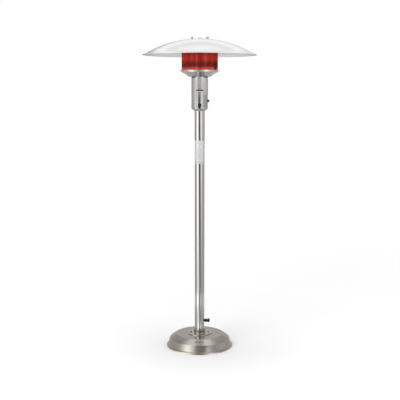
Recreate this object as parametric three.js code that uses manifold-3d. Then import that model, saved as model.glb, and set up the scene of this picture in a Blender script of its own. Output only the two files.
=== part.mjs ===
// A patio heater on piped gas: spun base, round post, control housing, burner bowl, emitter and reflector.
// Millimetres, +Z up, the floor at z = 0, the post's axis at x = y = 0, and the front towards -Y.
import * as THREE from "three";
import { mergeVertices } from "three/addons/utils/BufferGeometryUtils.js";
import Module from "manifold-3d";

const wasm = await Module();
wasm.setup();

// Fits: the clearance between pieces that touch, and how far every cut runs past what it cuts
const gap = 0.3;
const overrun = 6;

// Base: a spun cover over a cast weight that stands on rubber feet
const baseDiameter = 511;
const coverSheet = 1.5;
const coverHeight = 101;
const discRadius = 181;
const shoulderRadius = 232;
const shoulderHeight = 66;
const wallFootRadius = 242;
const shoulderRound = 6;
const shoulderBulge = 2.5;
const rimRoll = 7.5;
const rimLift = 1.2;
const coverHole = 25;
const footRadius = 18;
const footHeight = 4;
const footCircle = 205;
const weightRadius = 222;
const weightThickness = 12;
const weightHubRadius = 82;
const weightHollowRadius = 54;
const weightRoof = 14;

// Flange that bolts the post to the base
const flangeRadius = 92;
const flangeThickness = 5.7;
const flangeChamfer = 1.2;
const flangeHole = 28;
const collarHeight = 20;
const collarWall = 7.6;
const boltCircle = 67;
const boltRadius = 3.9;
const boltLength = 30;
const boltHeadRadius = 7.5;
const boltHeadHeight = 5.3;

// Post: a lower tube that runs up inside a slightly wider upper one
const postRadius = 37.6;
const postWall = 1.5;
const postVisibleLength = 1505;
const spigotLength = 60;
const sleeveWall = 1.2;
const sleeveLength = 250;
const plateThickness = 0.4;
const plateHeight = 175;
const plateDrop = 8;
const plateArc = 3.9;

// Gas inlet low on the post, on its right, and the pipe inside
const inletHeight = 200;
const pipeRadius = 8.5;
const pipeWall = 2;
const elbowRadius = 12;
const elbowRise = 26;
const neckRadius = 8.3;
const neckLength = 4;
const bulgeRadius = 11.8;
const bulgeLength = 17;
const barrelRadius = 9.6;
const barrelLength = 20.5;
const mouthRadius = 6.5;
const mouthDepth = 15;
const collarRadius = 15;
const collarLength = 14;
const collarTravel = 5;

// Cone that closes the control housing below, and the round valve shelf on it
const coneOffset = 215;
const coneHeight = 17;
const coneBand = 8.7;
const sheet = 1.5;
const shelfThickness = 2;

// Control housing with its front slot, side opening, air notches and tabs
const housingRadius = 63;
const housingHeight = 230;
const slotHalfWidth = 26;
const slotHeight = 133;
const sideOpeningHeight = 92;
const sideArc = 1.18;
const tabHalfWidth = 26;
const tabReach = 34;
const notchHalfWidth = 24;
const notchDepth = 9;
const shroudArc = 0.95;
const shroudHeight = 114;
const panelSheet = 1.2;

// Control knob on the gas valve, which pushes in and turns
const knobHeight = 20.5;
const knobRadius = 13.5;
const knobReach = 28.5;
const knobTipRadius = 2.4;
const knobDepth = 15;
const knobPush = 4;
const knobRound = 1.6;
const stemRadius = 4;
const valveWidth = 44;
const valveDepth = 44;
const valveHeight = 32;
const valveBossRadius = 8.9;
const valveBossLength = 14;
const plungerRadius = 6;
const plungerLength = 9;
const bossWall = 2;

// Spark igniter with its push button in the side panel
const buttonRise = 50;
const buttonRadius = 8.4;
const buttonCollar = 0.9;
const buttonTravel = 6;
const buttonProud = 11.2;
const buttonDome = 2.5;
const buttonTail = 7;
const bezelRadius = 10.5;
const bezelLength = 4.5;
const igniterRadius = 11.6;
const igniterLength = 33;

// Burner: outlet pipe, jet, mixing tube and head
const outletRadius = 5;
const outletLength = 92;
const jetRadius = 8;
const jetLength = 14;
const jetNose = 3;
const mixerRadius = 19;
const mixerMouth = 25;
const mixerLip = 6;
const mixerFlange = 27;
const headRadius = 44;
const headHeight = 24;
const headNeck = 12;
const leadRadius = 2.6;
const leadSpread = 0.22;
const pilotHeight = 18;
const pilotWall = 1.2;

// Burner bowl with its rolled lip, and the screws round it
const bowlSlope = 0.555;
const bowlFloorRadius = 78;
const spigotRadius = 58;
const spigotDepth = 13;
const lipRadius = 138.2;
const lipHeight = 16;
const lipRound = 2;
const lipShelf = 12;
const screwRadius = 1.9;
const screwHeadRadius = 3;
const screwHeadLength = 3.2;
const screwProud = 13;

// Emitter: a perforated screen round a pleated one, and the cap on top
const emitterRadius = 136.3;
const emitterHeight = 160.3;
const screenSheet = 1.2;
const pleatInner = 122;
const pleatOuter = 130;
const capSkirt = 11;
const capOverhang = 1.8;

// Reflector on three studs
const reflectorDiameter = 864;
const crownRadius = 785;
const crownEdge = 393;
const brimDrop = 14.5;
const hemHeight = 3.2;
const reflectorSheet = 1.5;
const studCircle = 66;
const studRadius = 3;
const studFootRadius = 7;
const studFootHeight = 5;
const spacerRadius = 7.5;
const spacerWall = 2;
const spacerLength = 59;
const washerRadius = 9;
const washerThickness = 1.6;
const nutRadius = 6.2;
const nutTopRadius = 4.8;
const nutHeight = 7.5;
const wingReach = 13;
const wingHeight = 11.5;
const wingThickness = 2.6;
const wingRound = 4.2;

// How many sides and steps stand for the round shapes
const sidesLarge = 48;
const sidesMedium = 32;
const sidesSmall = 16;
const sidesTiny = 10;
const sidesHole = 8;
const sidesHex = 6;
const crownSteps = 7;
const panelSteps = 8;
const shroudSteps = 6;
const plateSteps = 10;
const pleatCount = 32;

// Heights above the floor, each from what carries it
const weightBottom = footHeight + gap;
const weightTop = coverHeight - coverSheet - gap;
const flangeBottom = coverHeight + gap;
const flangeTop = flangeBottom + flangeThickness;
const postBottom = flangeTop + gap;
const sleeveRadius = postRadius + gap + sleeveWall;
const jointHeight = postBottom + postVisibleLength;
const sleeveTop = jointHeight + sleeveLength;
const coneBottom = jointHeight + coneOffset;
const bandTop = coneBottom + coneHeight + coneBand;
const shelfBottom = sleeveTop + gap;
const shelfTop = shelfBottom + shelfThickness;
const housingBottom = bandTop + gap;
const housingTop = housingBottom + housingHeight;
const housingInner = housingRadius - sheet;
const panelRadius = housingInner * Math.cos(Math.PI / sidesMedium) - gap;
const panelFlat = (panelRadius - panelSheet) * Math.cos(sideArc / panelSteps / 2);
const shroudRadius = panelFlat - gap;
const valveBottom = shelfTop + gap;
const knobCentre = housingBottom + knobHeight;
const knobBack = housingRadius + knobPush + gap;
const stemFront = knobBack + knobDepth / 2;
const valveTop = valveBottom + valveHeight;
const buttonCentre = housingBottom + buttonRise;
const bowlFloor = housingTop + sheet + gap;
const tabBend = bowlFloorRadius + ((sheet + 2 * gap) * Math.hypot(1, bowlSlope) - sheet - gap) / bowlSlope;
const lipBase = bowlFloor + (lipRadius - lipRound - bowlFloorRadius) * bowlSlope;
const lipCrest = lipBase + lipHeight;
const emitterBottom = lipCrest + gap;
const emitterTop = emitterBottom + emitterHeight;
const capTop = emitterTop + gap + sheet;
const spacerTop = capTop + gap + studFootHeight + gap + spacerLength;
const crownStep = Math.asin(crownEdge / crownRadius) / crownSteps;
const crownSag = crownRadius * (1 - Math.cos(crownStep / 2));
const innerCrown = crownRadius - reflectorSheet;
const spacerSeat = Math.sqrt(innerCrown ** 2 - (studCircle + spacerRadius) ** 2);
const crownTop = spacerTop + gap + crownSag + crownRadius - spacerSeat;
const washerSeat = Math.sqrt(crownRadius ** 2 - (studCircle - washerRadius) ** 2);
const washerBottom = crownTop - crownRadius + washerSeat + gap;
const nutBottom = washerBottom + washerThickness + gap;
const mixerBottom = valveTop + gap + outletLength;

// Finishes: colour, roughness and metalness
const finishes = {
  brushed: [0x9c978f, 0.38, 1],
  polished: [0xc9c7c2, 0.16, 1],
  bright: [0xe4e5e4, 0.2, 1],
  warm: [0xb9b0a4, 0.3, 1],
  plate: [0xe2e2e1, 0.45, 0.6],
  black: [0x101011, 0.4, 0],
  rubber: [0x17181a, 0.8, 0],
  iron: [0x3a3b3c, 0.75, 0.6],
  brass: [0xb08d4a, 0.35, 1],
  zinc: [0xa6a8aa, 0.45, 1],
  glow: [0xb4281c, 0.55, 0.2],
  dull: [0x77736d, 0.5, 1],
};

// A geometry with only its positions, its shared corners merged and its empty triangles left out
function weld(geometry) {
  const bare = geometry.index ? geometry.toNonIndexed() : geometry.clone();
  bare.deleteAttribute("normal");
  bare.deleteAttribute("uv");
  const merged = mergeVertices(bare);
  const corners = merged.index.array;
  const kept = [];
  for (let i = 0; i < corners.length; i += 3) {
    const [a, b, c] = corners.slice(i, i + 3);
    if (a !== b && b !== c && c !== a) {
      kept.push(a, b, c);
    }
  }
  merged.setIndex(kept);
  return merged;
}

// Joins and cuts of closed geometries
function solid(geometry) {
  const vertProperties = new Float32Array(geometry.attributes.position.array);
  const triVerts = new Uint32Array(geometry.index.array);
  return new wasm.Manifold(new wasm.Mesh({ numProp: 3, vertProperties, triVerts }));
}

function geometryOf(body) {
  const mesh = body.getMesh();
  const geometry = new THREE.BufferGeometry();
  geometry.setAttribute("position", new THREE.BufferAttribute(new Float32Array(mesh.vertProperties), 3));
  geometry.setIndex(Array.from(mesh.triVerts));
  return geometry;
}

function cut(geometry, tools) {
  return geometryOf(tools.reduce((body, tool) => body.subtract(solid(tool)), solid(geometry)));
}

function join(geometries) {
  const [first, ...others] = geometries;
  return geometryOf(others.reduce((body, other) => body.add(solid(other)), solid(first)));
}

function common(first, second) {
  return geometryOf(solid(first).intersect(solid(second)));
}

// A closed outline of [radius, height] points, outer side upwards, turned round the vertical axis
function turned(outline, sides) {
  const closed = [...outline, outline[0]];
  const points = closed.map(([radius, height]) => new THREE.Vector2(radius, height));
  return weld(new THREE.LatheGeometry(points, sides).rotateX(Math.PI / 2));
}

// The outline of a sheet whose outer side runs through the points, with the sheet on its left
function sheetOutline(points, thickness) {
  const inner = points.map((point, i) => {
    const before = points[Math.max(i - 1, 0)];
    const after = points[Math.min(i + 1, points.length - 1)];
    const first = i > 0 ? direction(before, point) : direction(point, after);
    const second = i < points.length - 1 ? direction(point, after) : first;
    const sum = [first[0] + second[0], first[1] + second[1]];
    const share = thickness * 2 / (sum[0] ** 2 + sum[1] ** 2);
    return [Math.max(point[0] - sum[1] * share, 0), point[1] + sum[0] * share];
  });
  return [...points, ...inner.reverse()];
}

function direction(from, to) {
  const length = Math.hypot(to[0] - from[0], to[1] - from[1]);
  return [(to[0] - from[0]) / length, (to[1] - from[1]) / length];
}

function arc(centreRadius, centreHeight, radius, from, to, steps) {
  return Array.from({ length: steps + 1 }, (_, i) => {
    const angle = from + (to - from) * i / steps;
    return [centreRadius + radius * Math.cos(angle), centreHeight + radius * Math.sin(angle)];
  });
}

function pipe(outer, inner, length, sides) {
  return turned([[inner, 0], [outer, 0], [outer, length], [inner, length]], sides);
}

function rod(radius, length, sides) {
  return weld(new THREE.CylinderGeometry(radius, radius, length, sides).rotateX(Math.PI / 2)
    .translate(0, 0, length / 2));
}

function block(width, depth, height) {
  return weld(new THREE.BoxGeometry(width, depth, height).translate(0, 0, height / 2));
}

function raised(shape, height, steps) {
  return weld(new THREE.ExtrudeGeometry(shape, { depth: height, bevelEnabled: false, curveSegments: steps }));
}

// Part of a round wall, between two angles seen from above
function wallArc(inner, outer, from, to, height, steps) {
  const shape = new THREE.Shape();
  shape.absarc(0, 0, outer, from, to, false);
  shape.absarc(0, 0, inner, to, from, true);
  return raised(shape, height, steps);
}

function along(points, radius, steps) {
  const section = new THREE.Shape();
  section.absarc(0, 0, radius, 0, Math.PI * 2, false);
  const path = new THREE.CatmullRomCurve3(points.map((point) => new THREE.Vector3(...point)));
  return weld(new THREE.ExtrudeGeometry(section, { extrudePath: path, steps, curveSegments: 4 }));
}

const heater = new THREE.Group();

function add(name, geometry, finish, x, y, z, turn = 0) {
  const [color, roughness, metalness] = finishes[finish];
  const mesh = new THREE.Mesh(geometry, new THREE.MeshStandardMaterial({ color, roughness, metalness }));
  mesh.name = name;
  mesh.position.set(x, y, z);
  mesh.rotation.z = turn;
  heater.add(mesh);
  return mesh;
}

// Places a piece whose own axis is upright along +X, or along -Y at the front
const toRight = (geometry) => geometry.rotateY(Math.PI / 2);
const toFront = (geometry) => geometry.rotateX(Math.PI / 2);
const onCircle = (radius, angle) => [radius * Math.cos(angle), radius * Math.sin(angle)];
const quarters = [0, 1, 2, 3].map((i) => i * Math.PI / 2);
const thirds = [0, 1, 2].map((i) => Math.PI / 2 + i * Math.PI * 2 / 3);

function makeBase() {
  const rimRadius = baseDiameter / 2 - rimRoll;
  const rimHeight = rimLift + rimRoll;
  const roll = arc(rimRadius, rimHeight, rimRoll, -Math.PI * 0.7, Math.PI * 0.4, 5);
  const shoulder = arc(shoulderRadius - shoulderRound, shoulderHeight - shoulderRound, shoulderRound,
    Math.PI * 0.1, Math.PI * 0.3, 1);
  const cover = sheetOutline([
    ...roll,
    [wallFootRadius, rimHeight + rimRoll],
    ...shoulder,
    [(shoulderRadius + discRadius) / 2, (shoulderHeight + coverHeight) / 2 + shoulderBulge],
    [discRadius, coverHeight],
    [coverHole, coverHeight],
  ], coverSheet);
  const bolts = quarters.map((angle) => onCircle(boltCircle, angle));
  const boltHoles = bolts.map(([x, y]) => rod(boltRadius + gap, coverHeight, sidesTiny)
    .translate(x, y, coverHeight - boltLength));
  add("base_cover", cut(turned(cover, sidesLarge), boltHoles), "warm", 0, 0, 0);

  const weight = turned([
    [weightHollowRadius, weightBottom],
    [weightRadius, weightBottom],
    [weightRadius, weightBottom + weightThickness],
    [weightHubRadius + weightThickness, weightBottom + weightThickness],
    [weightHubRadius, weightBottom + weightThickness * 2],
    [weightHubRadius, weightTop],
    [0, weightTop],
    [0, weightTop - weightRoof],
    [weightHollowRadius, weightTop - weightRoof],
  ], sidesMedium);
  add("base_weight", cut(weight, boltHoles), "iron", 0, 0, 0);
  quarters.forEach((angle, i) => {
    const [x, y] = onCircle(footCircle, angle + Math.PI / 4);
    add(`base_foot_${i + 1}`, rod(footRadius, footHeight, sidesSmall), "rubber", x, y, 0);
  });

  const collarInner = postRadius + gap;
  const flange = turned([
    [flangeHole, 0],
    [flangeRadius, 0],
    [flangeRadius, flangeThickness - flangeChamfer],
    [flangeRadius - flangeChamfer, flangeThickness],
    [collarInner + collarWall + flangeChamfer, flangeThickness],
    [collarInner + collarWall, flangeThickness + flangeChamfer],
    [collarInner + collarWall, flangeThickness + collarHeight - flangeChamfer],
    [collarInner + collarWall - flangeChamfer, flangeThickness + collarHeight],
    [collarInner, flangeThickness + collarHeight],
    [collarInner, flangeThickness],
    [flangeHole, flangeThickness],
  ], sidesMedium);
  const flangeHoles = bolts.map(([x, y]) => rod(boltRadius + gap, flangeThickness + 2 * overrun, sidesTiny)
    .translate(x, y, -overrun));
  add("post_flange", cut(flange, flangeHoles), "warm", 0, 0, flangeBottom);
  bolts.forEach(([x, y], i) => {
    const shank = rod(boltRadius, boltLength, sidesTiny).translate(0, 0, boltHeadHeight / 2 - boltLength);
    const bolt = join([rod(boltHeadRadius, boltHeadHeight, sidesHex), shank]);
    add(`flange_bolt_${i + 1}`, bolt, "zinc", x, y, flangeTop + gap);
  });
}

function makePost() {
  const lower = pipe(postRadius, postRadius - postWall, postVisibleLength + spigotLength, sidesMedium);
  const inletHole = toRight(rod(neckRadius + gap, postRadius + overrun, sidesSmall))
    .translate(0, 0, inletHeight - postBottom);
  add("lower_post", cut(lower, [inletHole]), "polished", 0, 0, postBottom);
  add("upper_post", pipe(sleeveRadius, sleeveRadius - sleeveWall, sleeveLength, sidesMedium),
    "polished", 0, 0, jointHeight);
  const inner = postRadius + gap;
  const plate = wallArc(inner, inner + plateThickness, -(Math.PI + plateArc) / 2, (plateArc - Math.PI) / 2,
    plateHeight, plateSteps);
  add("data_plate", plate, "plate", 0, 0, jointHeight - plateDrop - plateHeight);
}

// The inlet's outline runs from the post's bore outwards: neck, bulge, barrel with the mouth in its end
function makeInlet() {
  const inside = postRadius - postWall;
  const neckStart = inside - overrun / 2;
  const bulgeStart = postRadius + neckLength - neckStart;
  const bulgeEnd = bulgeStart + bulgeLength;
  const end = bulgeEnd + barrelLength;
  const fitting = turned([
    [0, 0],
    [neckRadius, 0],
    [neckRadius, bulgeStart],
    [barrelRadius, bulgeStart],
    [bulgeRadius, bulgeStart + bulgeLength / 4],
    [bulgeRadius, bulgeEnd - bulgeLength / 4],
    [barrelRadius, bulgeEnd],
    [barrelRadius, end],
    [mouthRadius, end],
    [mouthRadius, end - mouthDepth],
    [0, end - mouthDepth],
  ], sidesSmall);
  add("gas_inlet_fitting", toRight(fitting), "black", neckStart, 0, inletHeight);

  const collarInner = barrelRadius + gap;
  const collarStart = neckStart + bulgeEnd + collarTravel + gap;
  const grip = (collarRadius - collarInner) / 3;
  const collar = turned([
    [collarInner, 0],
    [collarRadius - grip, 0],
    [collarRadius, grip],
    [collarRadius, collarLength - grip],
    [collarRadius - grip, collarLength],
    [collarInner, collarLength],
  ], sidesSmall);
  add("inlet_collar", toRight(collar), "black", collarStart, 0, inletHeight);

  const arm = toRight(rod(elbowRadius, neckStart - gap, sidesSmall));
  const riser = rod(elbowRadius, elbowRise, sidesSmall);
  const corner = weld(new THREE.SphereGeometry(elbowRadius, sidesSmall, sidesTiny).rotateX(Math.PI / 2));
  add("inlet_elbow", join([arm, riser, corner]), "zinc", 0, 0, inletHeight);
  const pipeBottom = inletHeight + elbowRise + gap;
  const pipeLength = valveBottom - gap - pipeBottom;
  const riserPipe = pipe(pipeRadius, pipeRadius - pipeWall, pipeLength, sidesTiny);
  add("gas_supply_pipe", riserPipe, "zinc", 0, 0, pipeBottom);
}

function makeHousing() {
  const coneFoot = sleeveRadius + gap + sheet;
  const lip = housingInner - gap;
  const cone = turned(sheetOutline([
    [coneFoot, 0],
    [coneFoot, sheet],
    [housingRadius, coneHeight],
    [housingRadius, coneHeight + coneBand],
    [lip, coneHeight + coneBand],
    [lip, sleeveTop - coneBottom],
  ], sheet), sidesMedium);
  add("housing_cone", cone, "brushed", 0, 0, coneBottom);

  const shelf = cut(rod(housingInner - gap * 2, shelfThickness, sidesMedium),
    [rod(pipeRadius + gap, shelfThickness + 2 * overrun, sidesTiny).translate(0, 0, -overrun)]);
  add("valve_shelf", shelf, "dull", 0, 0, shelfBottom);

  add("control_housing", housingShape(), "brushed", 0, 0, housingBottom);

  const front = -Math.PI / 2;
  const shroud = wallArc(shroudRadius - sheet, shroudRadius, front - shroudArc, front + shroudArc,
    shroudHeight, shroudSteps);
  const stemHole = toFront(rod(stemRadius + 2 * gap, shroudRadius + overrun, sidesTiny))
    .translate(0, 0, knobCentre - shelfTop - gap);
  add("valve_shroud", cut(shroud, [stemHole]), "polished", 0, 0, shelfTop + gap);

  const panelHeight = sideOpeningHeight + overrun;
  const panelLift = Math.max(shelfTop + gap - housingBottom, 0);
  const panel = wallArc(panelRadius - panelSheet, panelRadius, -sideArc, sideArc,
    panelHeight - panelLift, panelSteps);
  const buttonHole = toRight(rod(buttonRadius + gap, panelRadius + overrun, sidesSmall))
    .translate(0, 0, buttonRise - panelLift);
  add("side_panel", cut(panel, [buttonHole]), "dull", 0, 0, housingBottom + panelLift);
}

// A tube with a front slot and a side opening below, notches at its top, and four bent tabs that carry the bowl
function housingShape() {
  const wall = pipe(housingRadius, housingInner, housingHeight, sidesMedium);
  const slotDepth = housingRadius + overrun;
  const slot = block(slotHalfWidth * 2, slotDepth, slotHeight + overrun)
    .translate(0, -slotDepth / 2, -overrun);
  const sideReach = housingRadius + overrun;
  const side = wallArc(overrun, sideReach, -sideArc, sideArc, sideOpeningHeight + overrun, panelSteps)
    .translate(0, 0, -overrun);
  const notches = quarters.map((angle) => rod(notchHalfWidth, housingRadius + overrun, sidesSmall)
    .scale(notchDepth / notchHalfWidth, 1, 1).rotateY(Math.PI / 2).translate(overrun, 0, housingHeight)
    .rotateZ(angle + Math.PI / 4));
  const body = cut(wall, [slot, side, ...notches]);
  const tabEnd = housingRadius + tabReach;
  const flare = turned(sheetOutline([
    [housingRadius, housingHeight - sheet],
    [housingRadius, housingHeight],
    [tabBend, housingHeight],
    [tabEnd, housingHeight + (tabEnd - tabBend) * bowlSlope],
  ], sheet), sidesMedium);
  const across = (tabEnd + overrun) * 2;
  const cross = join([block(across, tabHalfWidth * 2, housingHeight + overrun * 4),
    block(tabHalfWidth * 2, across, housingHeight + overrun * 4)]);
  return join([body, common(flare, cross)]);
}

function makeValve() {
  const axis = knobCentre - valveBottom;
  const half = valveDepth / 2;
  const bossEnd = half + valveBossLength;
  const body = join([
    block(valveWidth, valveDepth, valveHeight),
    toFront(rod(valveBossRadius, bossEnd, sidesSmall)).translate(0, 0, axis),
  ]);
  const bore = plungerRadius + gap;
  const boreLength = plungerLength + knobPush + gap * 4;
  const plungerFront = bossEnd - bossWall - gap;
  const plungerBore = rod(bore, boreLength, sidesTiny).translate(0, 0, bossEnd - bossWall - boreLength);
  const stemBore = rod(stemRadius + gap, bossEnd, sidesTiny).translate(0, 0, half);
  const valve = cut(body, [plungerBore, stemBore].map((tool) => toFront(tool).translate(0, 0, axis)));
  add("gas_valve", valve, "zinc", 0, 0, valveBottom);
  const plunger = rod(plungerRadius, plungerLength, sidesTiny).translate(0, 0, plungerFront - plungerLength);
  add("valve_plunger", toFront(plunger), "brass", 0, 0, knobCentre);
  const stemStart = plungerFront + gap;
  const stem = rod(stemRadius, stemFront - stemStart, sidesTiny).translate(0, 0, stemStart);
  add("valve_stem", toFront(stem), "brass", 0, 0, knobCentre);

  const bevel = {
    depth: knobDepth - knobRound * 2,
    bevelThickness: knobRound,
    bevelSize: knobRound,
    bevelOffset: -knobRound,
    bevelSegments: 1,
    curveSegments: 8,
  };
  const grip = weld(new THREE.ExtrudeGeometry(knobOutline(), bevel)).translate(0, 0, knobRound);
  const socket = rod(stemRadius + gap, stemFront + gap, sidesTiny).translate(0, 0, -knobBack);
  const knob = cut(grip, [socket]).translate(0, 0, knobBack);
  add("control_knob", toFront(knob), "black", 0, 0, knobCentre);
}

// A drop: a round head and a small round tip below it, joined by the two lines that touch both
function knobOutline() {
  const distance = knobReach - knobTipRadius;
  const lean = Math.asin((knobRadius - knobTipRadius) / distance);
  const shape = new THREE.Shape();
  shape.absarc(0, 0, knobRadius, -lean, Math.PI + lean, false);
  shape.absarc(0, -distance, knobTipRadius, Math.PI + lean, Math.PI * 2 - lean, false);
  return shape;
}

// Igniter behind the side panel: body, button, bezel
function makeIgniter() {
  const behindPanel = (radius) => Math.sqrt(panelFlat ** 2 - radius ** 2) - gap;
  const bodyEnd = behindPanel(igniterRadius);
  const collar = buttonRadius + buttonCollar;
  const bore = collar + gap;
  const buttonBack = bodyEnd - buttonTail;
  const boreDepth = buttonTail + buttonTravel + gap * 2;
  const body = turned([
    [0, 0],
    [igniterRadius, 0],
    [igniterRadius, igniterLength],
    [bore, igniterLength],
    [bore, igniterLength - boreDepth],
    [0, igniterLength - boreDepth],
  ], sidesSmall);
  add("igniter_body", toRight(body), "black", bodyEnd - igniterLength, 0, buttonCentre);
  const buttonLength = panelRadius + buttonProud - buttonBack;
  const collarEnd = behindPanel(collar) - buttonBack;
  const button = turned([
    [0, 0],
    [collar, 0],
    [collar, collarEnd],
    [buttonRadius, collarEnd],
    [buttonRadius, buttonLength - buttonDome],
    [buttonRadius - buttonDome / 2, buttonLength - buttonDome / 3],
    [buttonRadius - buttonDome * 3 / 2, buttonLength],
    [0, buttonLength],
  ], sidesSmall);
  add("igniter_button", toRight(button), "black", buttonBack, 0, buttonCentre);
  const bezel = turned([
    [buttonRadius + gap, 0],
    [bezelRadius, 0],
    [bezelRadius, bezelLength - gap * 4],
    [bezelRadius - gap * 4, bezelLength],
    [buttonRadius + gap, bezelLength],
  ], sidesSmall);
  add("igniter_bezel", toRight(bezel), "black", panelRadius + gap, 0, buttonCentre);
  return bodyEnd - igniterLength;
}

function makeBurner() {
  const pipeBase = valveTop + gap;
  const jetRise = outletLength + gap;
  const outlet = pipe(outletRadius, outletRadius - pipeWall, outletLength, sidesTiny);
  add("outlet_pipe", outlet, "brass", 0, 0, pipeBase);
  const jet = turned([
    [0, 0],
    [jetRadius, 0],
    [jetRadius, jetLength / 2],
    [jetNose, jetLength],
    [0, jetLength],
  ], sidesHex);
  add("burner_jet", jet, "brass", 0, 0, pipeBase + jetRise);

  const throat = mixerRadius - sheet;
  const flangeHeight = bowlFloor + sheet + gap - mixerBottom;
  const mixerTop = flangeHeight + sheet + mixerLip;
  const mixer = turned([
    [mixerMouth - sheet, 0],
    [mixerMouth, 0],
    [mixerMouth, mixerMouth / 4],
    [mixerRadius, mixerMouth],
    [mixerRadius, flangeHeight],
    [mixerFlange, flangeHeight],
    [mixerFlange, flangeHeight + sheet],
    [mixerRadius, flangeHeight + sheet],
    [mixerRadius, mixerTop],
    [throat, mixerTop],
    [throat, mixerMouth],
    [mixerMouth - sheet, mixerMouth / 4],
  ], sidesSmall);
  add("mixing_tube", mixer, "zinc", 0, 0, mixerBottom);

  const neck = mixerRadius + gap;
  const head = turned([
    [neck, 0],
    [neck + sheet, 0],
    [neck + sheet, headNeck - sheet],
    [headRadius, headNeck - sheet],
    [headRadius, headHeight],
    [0, headHeight],
    [0, headHeight - sheet],
    [headRadius - sheet, headHeight - sheet],
    [headRadius - sheet, headNeck],
    [neck, headNeck],
  ], sidesMedium);
  add("burner_head", head, "zinc", 0, 0, mixerBottom + flangeHeight + sheet + gap);
}

// Bowl: a floor with holes for the mixing tube and the leads, a spigot below it that drops into the housing,
// a cone, and a rolled lip with a shelf inside
function makeBowl(leads) {
  const crest = lipCrest - bowlFloor;
  const lipFoot = lipBase - bowlFloor;
  const roll = arc(lipRadius - lipRound, lipFoot + lipRound, lipRound, -Math.PI / 3, 0, 2);
  const turnIn = arc(lipRadius - lipRound, crest - lipRound, lipRound, 0, Math.PI / 2, 2);
  const bowl = turned(sheetOutline([
    [mixerRadius + gap, 0],
    [bowlFloorRadius, 0],
    ...roll,
    ...turnIn,
    [lipRadius - lipShelf, crest],
  ], sheet), sidesLarge);
  const leadHoles = leads.map(([x, y]) => rod(leadRadius + gap, sheet + 2 * overrun, sidesHole)
    .translate(x, y, -overrun));
  const screwHeight = crest - lipRound - screwHeadRadius;
  const spigot = pipe(spigotRadius, spigotRadius - sheet, spigotDepth + sheet / 2, sidesLarge)
    .translate(0, 0, -spigotDepth);
  const screwHoles = quarters.map((angle) => toRight(rod(screwRadius + gap, lipRadius + overrun, sidesHole))
    .translate(0, 0, screwHeight).rotateZ(angle));
  const shell = join([cut(bowl, screwHoles), spigot]);
  add("burner_bowl", cut(shell, leadHoles), "brushed", 0, 0, bowlFloor);
  quarters.forEach((angle, i) => {
    const shank = rod(screwRadius, screwProud + sheet * 2, sidesHole).translate(0, 0, -sheet * 2);
    const head = rod(screwHeadRadius, screwHeadLength, sidesHex);
    const nut = head.clone().translate(0, 0, gap);
    const screw = join([shank, head.translate(0, 0, screwProud - screwHeadLength), nut]);
    const [x, y] = onCircle(lipRadius, angle);
    add(`bowl_screw_${i + 1}`, toRight(screw), "zinc", x, y, bowlFloor + screwHeight, angle);
  });
}

function makeEmitter() {
  const inner = emitterRadius - screenSheet;
  add("emitter_screen", pipe(emitterRadius, inner, emitterHeight, sidesLarge), "glow", 0, 0, emitterBottom);
  const pleats = new THREE.Shape();
  const bore = new THREE.Path();
  for (let i = 0; i < pleatCount * 2; i += 1) {
    const outward = i % 2 === 0;
    const angle = i * Math.PI / pleatCount;
    const [x, y] = onCircle(outward ? pleatOuter : pleatInner, angle);
    const [u, v] = onCircle((outward ? pleatOuter : pleatInner) - screenSheet * 2, angle);
    if (i === 0) {
      pleats.moveTo(x, y);
      bore.moveTo(u, v);
    } else {
      pleats.lineTo(x, y);
      bore.lineTo(u, v);
    }
  }
  pleats.closePath();
  bore.closePath();
  pleats.holes.push(bore);
  add("inner_emitter", raised(pleats, emitterHeight, 1), "glow", 0, 0, emitterBottom);

  const capRadius = emitterRadius + capOverhang;
  const cap = turned(sheetOutline([
    [capRadius, emitterTop - capSkirt],
    [capRadius, capTop - sheet / 2],
    [capRadius - sheet / 2, capTop],
    [0, capTop],
  ], sheet), sidesLarge);
  add("emitter_cap", cap, "dull", 0, 0, 0);
}

// Pilot beside the burner, with its tube, and the thermocouple and spark leads that rise to it
function makePilot(igniterEnd, feet) {
  const floor = bowlFloor + sheet;
  const turnIn = mixerBottom - pilotHeight;
  const tip = floor + headNeck + headHeight;
  const hoodBottom = tip - pilotHeight;
  const bend = valveWidth / 6;
  const start = valveTop + gap;
  const rise = (x, y, [footX, footY], top) => [
    [x, y, start],
    [x, y, start + bend],
    [footX, footY, turnIn],
    [footX, footY, turnIn + pilotHeight],
    [footX, footY, top],
  ];
  const [coupleFoot, tubeFoot, sparkFoot] = feet;
  add("pilot_tube", along(rise(0, bend * 2, tubeFoot, hoodBottom - gap), leadRadius, 12), "zinc", 0, 0, 0);
  add("thermocouple", along(rise(-bend * 2, bend, coupleFoot, tip), leadRadius, 12), "brass", 0, 0, 0);
  const leadStart = igniterEnd - gap;
  const spark = along([
    [leadStart, 0, buttonCentre],
    [leadStart - bend, 0, buttonCentre],
    [leadStart - bend, bend, buttonCentre + bend],
    [sparkFoot[0], sparkFoot[1], turnIn],
    [sparkFoot[0], sparkFoot[1], turnIn + pilotHeight],
    [sparkFoot[0], sparkFoot[1], tip],
  ], leadRadius, 16);
  add("spark_electrode", spark, "plate", 0, 0, 0);
  const hoodRadius = leadRadius * 2;
  const hood = turned([
    [0, 0],
    [hoodRadius, 0],
    [hoodRadius, pilotHeight],
    [hoodRadius - pilotWall, pilotHeight],
    [hoodRadius - pilotWall, pilotWall],
    [0, pilotWall],
  ], sidesTiny);
  add("pilot_hood", hood, "dull", tubeFoot[0], tubeFoot[1], hoodBottom);
}

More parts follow.
